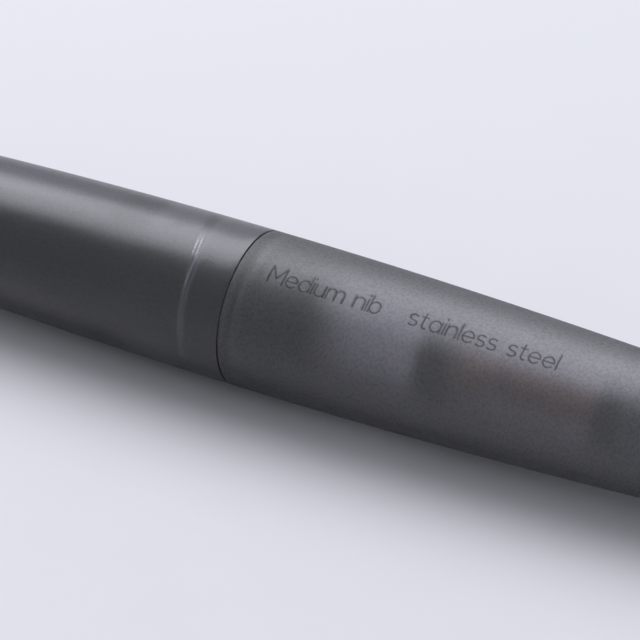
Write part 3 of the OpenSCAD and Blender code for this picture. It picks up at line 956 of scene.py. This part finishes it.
def build_clip():
    """Clip: a round wire bent into an open ring in the groove of the knob's neck."""
    first, last = span("knob_clip")
    outer = outer_radius("knob_clip")
    wire = (last - first) / 2
    turn = np.linspace(math.radians(14), math.radians(346), 120)
    section = np.linspace(0, FULL_TURN, 20, endpoint=False)
    reach = outer - 0.16 * MM + 0.155 * MM * np.cos(section)[None, :] * np.ones((len(turn), 1))
    along = (first + last) / 2 + 0.98 * wire * np.sin(section)[None, :] + 0 * reach
    grid = np.stack([
        SEAM_X + along, -reach * np.sin(turn)[:, None], AXIS_Z + reach * np.cos(turn)[:, None]], -1)
    caps = grid[[0, -1]].mean(1, keepdims=True).repeat(len(section), 1)
    grid = np.concatenate([caps[:1], grid, caps[1:]])
    i, j, corners = ring_faces(*grid.shape[:2])
    uv = np.stack([i * 0.1 * MM, j * 0.1 * MM], -1).reshape(-1, 1, 2).repeat(4, 1)
    clip = solid_mesh("Knob_clip", grid.reshape(-1, 3), corners[:, [0, 3, 2, 1]], uv)
    finish_piece(clip, "knob", "knob_clip", ground_metal())


# ---------------------------------------------------------------- shared shader groups

def new_group(name, inputs, outputs):
    """A shader node group with the given (name, type, default) inputs and (name, type) outputs."""
    group = bpy.data.node_groups.new(name, "ShaderNodeTree")
    for label, kind, default in inputs:
        socket = group.interface.new_socket(name=label, in_out="INPUT", socket_type=kind)
        if default is not None:
            socket.default_value = default
    for label, kind in outputs:
        group.interface.new_socket(name=label, in_out="OUTPUT", socket_type=kind)
    return group, group.nodes.new("NodeGroupInput"), group.nodes.new("NodeGroupOutput")


def add(tree, kind, settings=None, links=None):
    """Adds a node, sets its attributes or sockets, and links sockets to it.

    A key is an attribute's name, or a socket's name or number.
    """
    node = tree.nodes.new(kind)
    for key, value in (settings or {}).items():
        if isinstance(key, str) and key not in node.inputs and hasattr(node, key):
            setattr(node, key, value)
        else:
            node.inputs[key].default_value = value
    for key, source in (links or {}).items():
        tree.links.new(source, node.inputs[key])
    return node


def grain_group():
    """Fine moulded or blasted grain: two octaves of noise, as a value and as a bumped normal."""
    found = bpy.data.node_groups.get("Surface grain")
    if found:
        return found
    group, taken, given = new_group(
        "Surface grain",
        [("Vector", "NodeSocketVector", None), ("Scale", "NodeSocketFloat", 2000.0),
         ("Strength", "NodeSocketFloat", 0.2)],
        [("Value", "NodeSocketFloat"), ("Normal", "NodeSocketVector")])
    noise = add(group, "ShaderNodeTexNoise", {"Detail": 2.0, "Roughness": 0.6}, {
        "Vector": taken.outputs["Vector"], "Scale": taken.outputs["Scale"]})
    bump = add(group, "ShaderNodeBump", {"Distance": 0.00003}, {
        "Strength": taken.outputs["Strength"], "Height": noise.outputs[0]})
    group.links.new(noise.outputs[0], given.inputs["Value"])
    group.links.new(bump.outputs["Normal"], given.inputs["Normal"])
    return group


def marks_group():
    """Handling marks: broad soft smears and a few fine wipe lines along the pen, as one mask."""
    found = bpy.data.node_groups.get("Handling marks")
    if found:
        return found
    group, taken, given = new_group(
        "Handling marks",
        [("Vector", "NodeSocketVector", None)], [("Mask", "NodeSocketFloat")])
    smear = add(group, "ShaderNodeTexNoise", {"Scale": 120.0, "Detail": 1.0}, {
        "Vector": taken.outputs["Vector"]})
    stretched = add(group, "ShaderNodeMapping", {"Scale": (90.0, 1400.0, 1400.0)}, {
        "Vector": taken.outputs["Vector"]})
    wipe = add(group, "ShaderNodeTexNoise", {"Scale": 1.0, "Detail": 2.0}, {
        "Vector": stretched.outputs["Vector"]})
    fine = add(group, "ShaderNodeMapRange", {"From Min": 0.4, "From Max": 0.9}, {
        "Value": wipe.outputs[0]})
    broad = add(group, "ShaderNodeMapRange", {"From Min": 0.2, "From Max": 0.8}, {
        "Value": smear.outputs[0]})
    both = add(group, "ShaderNodeMath", {"operation": "MULTIPLY_ADD", 1: 0.3}, {
        0: fine.outputs[0], 2: broad.outputs[0]})
    group.links.new(both.outputs[0], given.inputs["Mask"])
    return group


# ---------------------------------------------------------------- materials

POLISHED = 0.3


def shade(name, colour, roughness, grain_scale, grain_strength, spread=0.12, tone=1.25, speckle=0.1,
          absorb=None, relief_shade=0.5, **plain):
    """A finished material: colour and roughness varied by handling marks, and a fine grain.

    The colour runs from the given one to tone times it and the roughness up by spread. The grain
    darkens and brightens the colour by speckle. The piece's relief darkens it by up to relief_tone
    where it is cut in, and cuts the roughness to POLISHED times it where it is polished. absorb gives
    how much red, green and blue a metre of the material takes out of the light inside it. Other values
    go straight on the shader's sockets. A material that exists already is used again.
    """
    found = bpy.data.materials.get(name)
    if found:
        return found
    material = bpy.data.materials.new(name)
    material.use_nodes = True
    tree = material.node_tree
    tree.nodes.clear()
    place = tree.nodes.new("ShaderNodeTexCoord").outputs["Object"]
    grain = add(tree, "ShaderNodeGroup", {
        "node_tree": grain_group(), "Scale": grain_scale, "Strength": grain_strength}, {"Vector": place})
    marks = add(tree, "ShaderNodeGroup", {"node_tree": marks_group()}, {"Vector": place})
    tint = add(tree, "ShaderNodeMix", {
        "data_type": "RGBA", 6: (*colour, 1.0), 7: (*[min(1.0, c * tone) for c in colour], 1.0)}, {
        0: marks.outputs["Mask"]})
    fleck = add(tree, "ShaderNodeMapRange", {
        "From Min": 0.3, "From Max": 0.7, "To Min": 1.0 - speckle, "To Max": 1.0 + speckle}, {
        "Value": grain.outputs["Value"]})
    relief = add(tree, "ShaderNodeAttribute", {"attribute_name": "relief"})
    # Where relief is -1 the colour is darkened by up to relief_shade: painted shade in cuts and grooves.
    painted_shade = add(tree, "ShaderNodeMapRange", {
        "From Min": -1.0, "From Max": 0.0, "To Min": 1.0 - relief_shade, "To Max": 1.0}, {
        "Value": relief.outputs["Fac"]})
    both = add(tree, "ShaderNodeMath", {"operation": "MULTIPLY"}, {
        0: fleck.outputs[0], 1: painted_shade.outputs[0]})
    flecked_and_shaded = add(tree, "ShaderNodeVectorMath", {"operation": "SCALE"}, {
        "Vector": tint.outputs[2], "Scale": both.outputs[0]})
    rough = add(tree, "ShaderNodeMapRange", {"To Min": roughness, "To Max": roughness + spread}, {
        "Value": marks.outputs["Mask"]})
    polish = add(tree, "ShaderNodeMapRange", {"To Min": 1.0, "To Max": POLISHED}, {
        "Value": relief.outputs["Fac"]})
    smooth = add(tree, "ShaderNodeMath", {"operation": "MULTIPLY"}, {
        0: rough.outputs[0], 1: polish.outputs[0]})
    shader = add(tree, "ShaderNodeBsdfPrincipled", plain, {
        "Base Color": flecked_and_shaded.outputs[0], "Roughness": smooth.outputs[0],
        "Normal": grain.outputs["Normal"]})
    out = add(tree, "ShaderNodeOutputMaterial", links={"Surface": shader.outputs["BSDF"]})
    if absorb:
        density = max(absorb) / 0.9
        inside = add(tree, "ShaderNodeVolumeAbsorption", {
            "Color": (*[1 - a / density for a in absorb], 1.0), "Density": density})
        tree.links.new(inside.outputs[0], out.inputs["Volume"])
    return material


def frosted_cap():
    """Smoke plastic of the cap: see-through, satin, with a fine even grain."""
    return shade("Frosted cap", colours().smoke_cap, 0.29, 4200, 0.2, 0.05, 1.06, 0.12,
                 sizes().cap_absorb, **{"Transmission Weight": 0.99, "IOR": 1.49})


def frosted_barrel():
    """Smoke plastic of the barrel: see-through and more coarsely blasted, so its grain shows."""
    # The 0.9 is relief_shade: the engraved strokes are painted dark as shade, down to a tenth of the
    # colour.
    return shade("Frosted barrel", colours().smoke_barrel, 0.5, 3900, 0.8, 0.05, 1.08, 0.28,
                 sizes().barrel_absorb, 0.9, **{"Transmission Weight": 0.98, "IOR": 1.49})


def moulded_liner():
    """Grey plastic of the liner."""
    return shade("Liner plastic", colours().liner, 0.40, 1500, 0.10)


def black_plastic(name, roughness, grain_scale):
    """Black moulded plastic with a slight sheen."""
    return shade(name, colours().black, roughness, grain_scale, 0.12, 0.12, 1.6)


def rubber():
    """Soft black rubber with a dull grain."""
    return shade("Seal rubber", colours().rubber, 0.62, 1800, 0.3, 0.15, 1.8)


def silicone():
    """Pale silicone of the ring in the cap's thread, its middle left dark by the mould."""
    return shade("Seal silicone", colours().silicone, 0.45, 1800, 0.1, 0.1, 1.1, relief_shade=0.85)


def clear_tube():
    """Clear plastic of the ink tube."""
    return shade("Clear tube", (0.90, 0.885, 0.90), 0.04, 900, 0.01, 0.05, 1.03, 0.0,
                 **{"Transmission Weight": 1.0, "IOR": 1.5})


def rod_plastic():
    """Tan plastic of the piston rod."""
    # relief_shade 0.9: the rod's groove is painted dark as shade.
    return shade("Rod plastic", colours().rod, 0.32, 900, 0.05, 0.1, 1.15, relief_shade=0.9)


def nib_steel():
    """Polished stainless steel of the nib."""
    return shade("Nib steel", colours().steel, 0.16, 1600, 0.03, 0.14, 1.08, Metallic=1.0)


def ground_metal():
    """Ground hard metal of the point and spring steel of the clip."""
    return shade("Ground metal", colours().steel, 0.26, 2600, 0.2, 0.12, 1.1, Metallic=1.0)


def sleeve_metal():
    """Grey plated metal of the converter's sleeve."""
    return shade("Sleeve metal", colours().sleeve, 0.34, 2200, 0.06, 0.1, 1.15, Metallic=1.0)


# ---------------------------------------------------------------- stage

VIEW_AZIMUTH = math.radians(28.3)
VIEW_ELEVATION = math.radians(34.0)
CAMERA_DISTANCE = 0.4
CAMERA_LENS = 267.7
LAMP_DISTANCE = 0.7
LAMP_SIZE = (0.85, 0.44)
LAMP_WATTS = 5.7
ROOM_STRENGTH = 0.66
FLOOR_HALF = 0.9
FLOOR_POINTS = 25


def build_stage():
    """Pale table, soft world light, a long soft light above and behind, and the camera."""
    count = FLOOR_POINTS
    edge = np.linspace(-FLOOR_HALF, FLOOR_HALF, count)
    x, y = np.meshgrid(edge, edge, indexing="ij")
    mesh = bpy.data.meshes.new("Floor")
    i, j = np.meshgrid(np.arange(count - 1), np.arange(count - 1), indexing="ij")
    faces = np.stack([i * count + j, (i + 1) * count + j, (i + 1) * count + j + 1, i * count + j + 1], -1)
    points = np.stack([x, y, 0 * x], -1).reshape(-1, 3)
    mesh.from_pydata(points.tolist(), [], faces.reshape(-1, 4).tolist())
    floor = bpy.data.objects.new("Floor", mesh)
    bpy.context.scene.collection.objects.link(floor)
    floor.data.materials.append(shade("Floor paper", colours().floor, 0.55, 500, 0.0, 0.1, 1.01, 0.0))

    world = bpy.data.worlds.new("Soft room")
    bpy.context.scene.world = world
    world.use_nodes = True
    background = world.node_tree.nodes["Background"]
    background.inputs["Color"].default_value = (0.90, 0.93, 1.0, 1.0)
    background.inputs["Strength"].default_value = ROOM_STRENGTH

    aim = Vector((SEAM_X, 0.0, AXIS_Z))
    toward = Vector((-0.39, 0.40, 0.83)).normalized()
    lamp = bpy.data.lights.new("Long soft light", "AREA")
    lamp.shape = "RECTANGLE"
    lamp.size, lamp.size_y = LAMP_SIZE
    lamp.energy = LAMP_WATTS
    lamp.color = (0.935, 0.95, 1.0)
    light = bpy.data.objects.new("Long soft light", lamp)
    light.location = aim + toward * LAMP_DISTANCE
    light.rotation_euler = (-toward).to_track_quat("-Z", "Y").to_euler()
    bpy.context.scene.collection.objects.link(light)

    azimuth, elevation = VIEW_AZIMUTH, VIEW_ELEVATION
    back = Vector((
        math.sin(azimuth) * math.cos(elevation), -math.cos(azimuth) * math.cos(elevation),
        math.sin(elevation)))
    right = Vector((math.cos(azimuth), math.sin(azimuth), 0.0))
    up = back.cross(right)
    data = bpy.data.cameras.new("Camera")
    data.sensor_width = 36.0
    data.lens = CAMERA_LENS
    data.clip_start, data.clip_end = 0.01, 10.0
    camera = bpy.data.objects.new("Camera", data)
    target = aim + right * 5.38 * MM - up * 1.01 * MM
    camera.location = target + back * CAMERA_DISTANCE
    camera.rotation_euler = (-back).to_track_quat("-Z", "Y").to_euler()
    bpy.context.scene.collection.objects.link(camera)
    bpy.context.scene.camera = camera
    bpy.context.scene.view_settings.view_transform = "Standard"


# ---------------------------------------------------------------- operators and panel

def operator(idname, label, text, *steps):
    """Makes an operator class that runs the given building steps."""
    def execute(self, context):
        for step in steps:
            step()
        return {"FINISHED"}

    name = "PEN_OT_" + idname
    return type(name, (bpy.types.Operator,), {
        "bl_idname": "pen." + idname, "bl_label": label, "__doc__": text, "execute": execute})


OPERATORS = [
    operator("cap", "Cap shell", "Builds the frosted cap shell with its inner thread", build_cap),
    operator("liner", "Cap liner", "Builds the liner inside the cap", build_liner),
    operator("barrel", "Barrel shell", "Builds the frosted barrel with its engraved words", build_barrel),
    operator("grip", "Grip", "Builds the waisted grip sleeve", build_grip),
    operator("coupler", "Coupler", "Builds the coupler with both threads", build_coupler),
    operator("seals", "Seals", "Builds the three rubber rings", build_seals),
    operator("housing", "Nib housing", "Builds the carrier of nib and feed", build_housing),
    operator("nib", "Nib", "Builds the steel nib and its point", build_nib, build_nib_point),
    operator("feed", "Feed", "Builds the finned feed", build_feed),
    operator("tube", "Ink tube", "Builds the clear tube of the converter", build_tube),
    operator("piston", "Piston", "Builds the piston seal and its rod", build_piston),
    operator("guide", "Guide and sleeve", "Builds the rod guide and the metal sleeve", build_guide),
    operator(
        "knob", "Knob", "Builds the knob with its spindle and clip", build_knob, build_spindle, build_clip),
    operator("stage", "Stage", "Builds the table, the lights and the camera", build_stage),
]


class PEN_PT_panel(bpy.types.Panel):
    """Lists the operators that build the pen."""

    bl_label = "Frosted Nib Pen"
    bl_idname = "PEN_PT_panel"
    bl_space_type = "VIEW_3D"
    bl_region_type = "UI"
    bl_category = "Pen"

    def draw(self, context):
        for item in OPERATORS:
            self.layout.operator(item.bl_idname)


CLASSES = [PenSizes, PenColours, *OPERATORS, PEN_PT_panel]


def register():
    for item in CLASSES:
        bpy.utils.register_class(item)
    bpy.types.Scene.pen_sizes = bpy.props.PointerProperty(type=PenSizes)
    bpy.types.Scene.pen_colours = bpy.props.PointerProperty(type=PenColours)


def unregister():
    del bpy.types.Scene.pen_colours
    del bpy.types.Scene.pen_sizes
    for item in reversed(CLASSES):
        bpy.utils.unregister_class(item)


def plain(bounds):
    """Bounds as plain nested lists of numbers."""
    return [[float(v) for v in corner] for corner in bounds]


def main():
    """Registers the add-on, builds every piece in order and writes down both sets of bounds."""
    register()
    for item in OPERATORS:
        getattr(bpy.ops.pen, item.bl_idname.split(".")[1])()


if __name__ == "__main__":
    main()
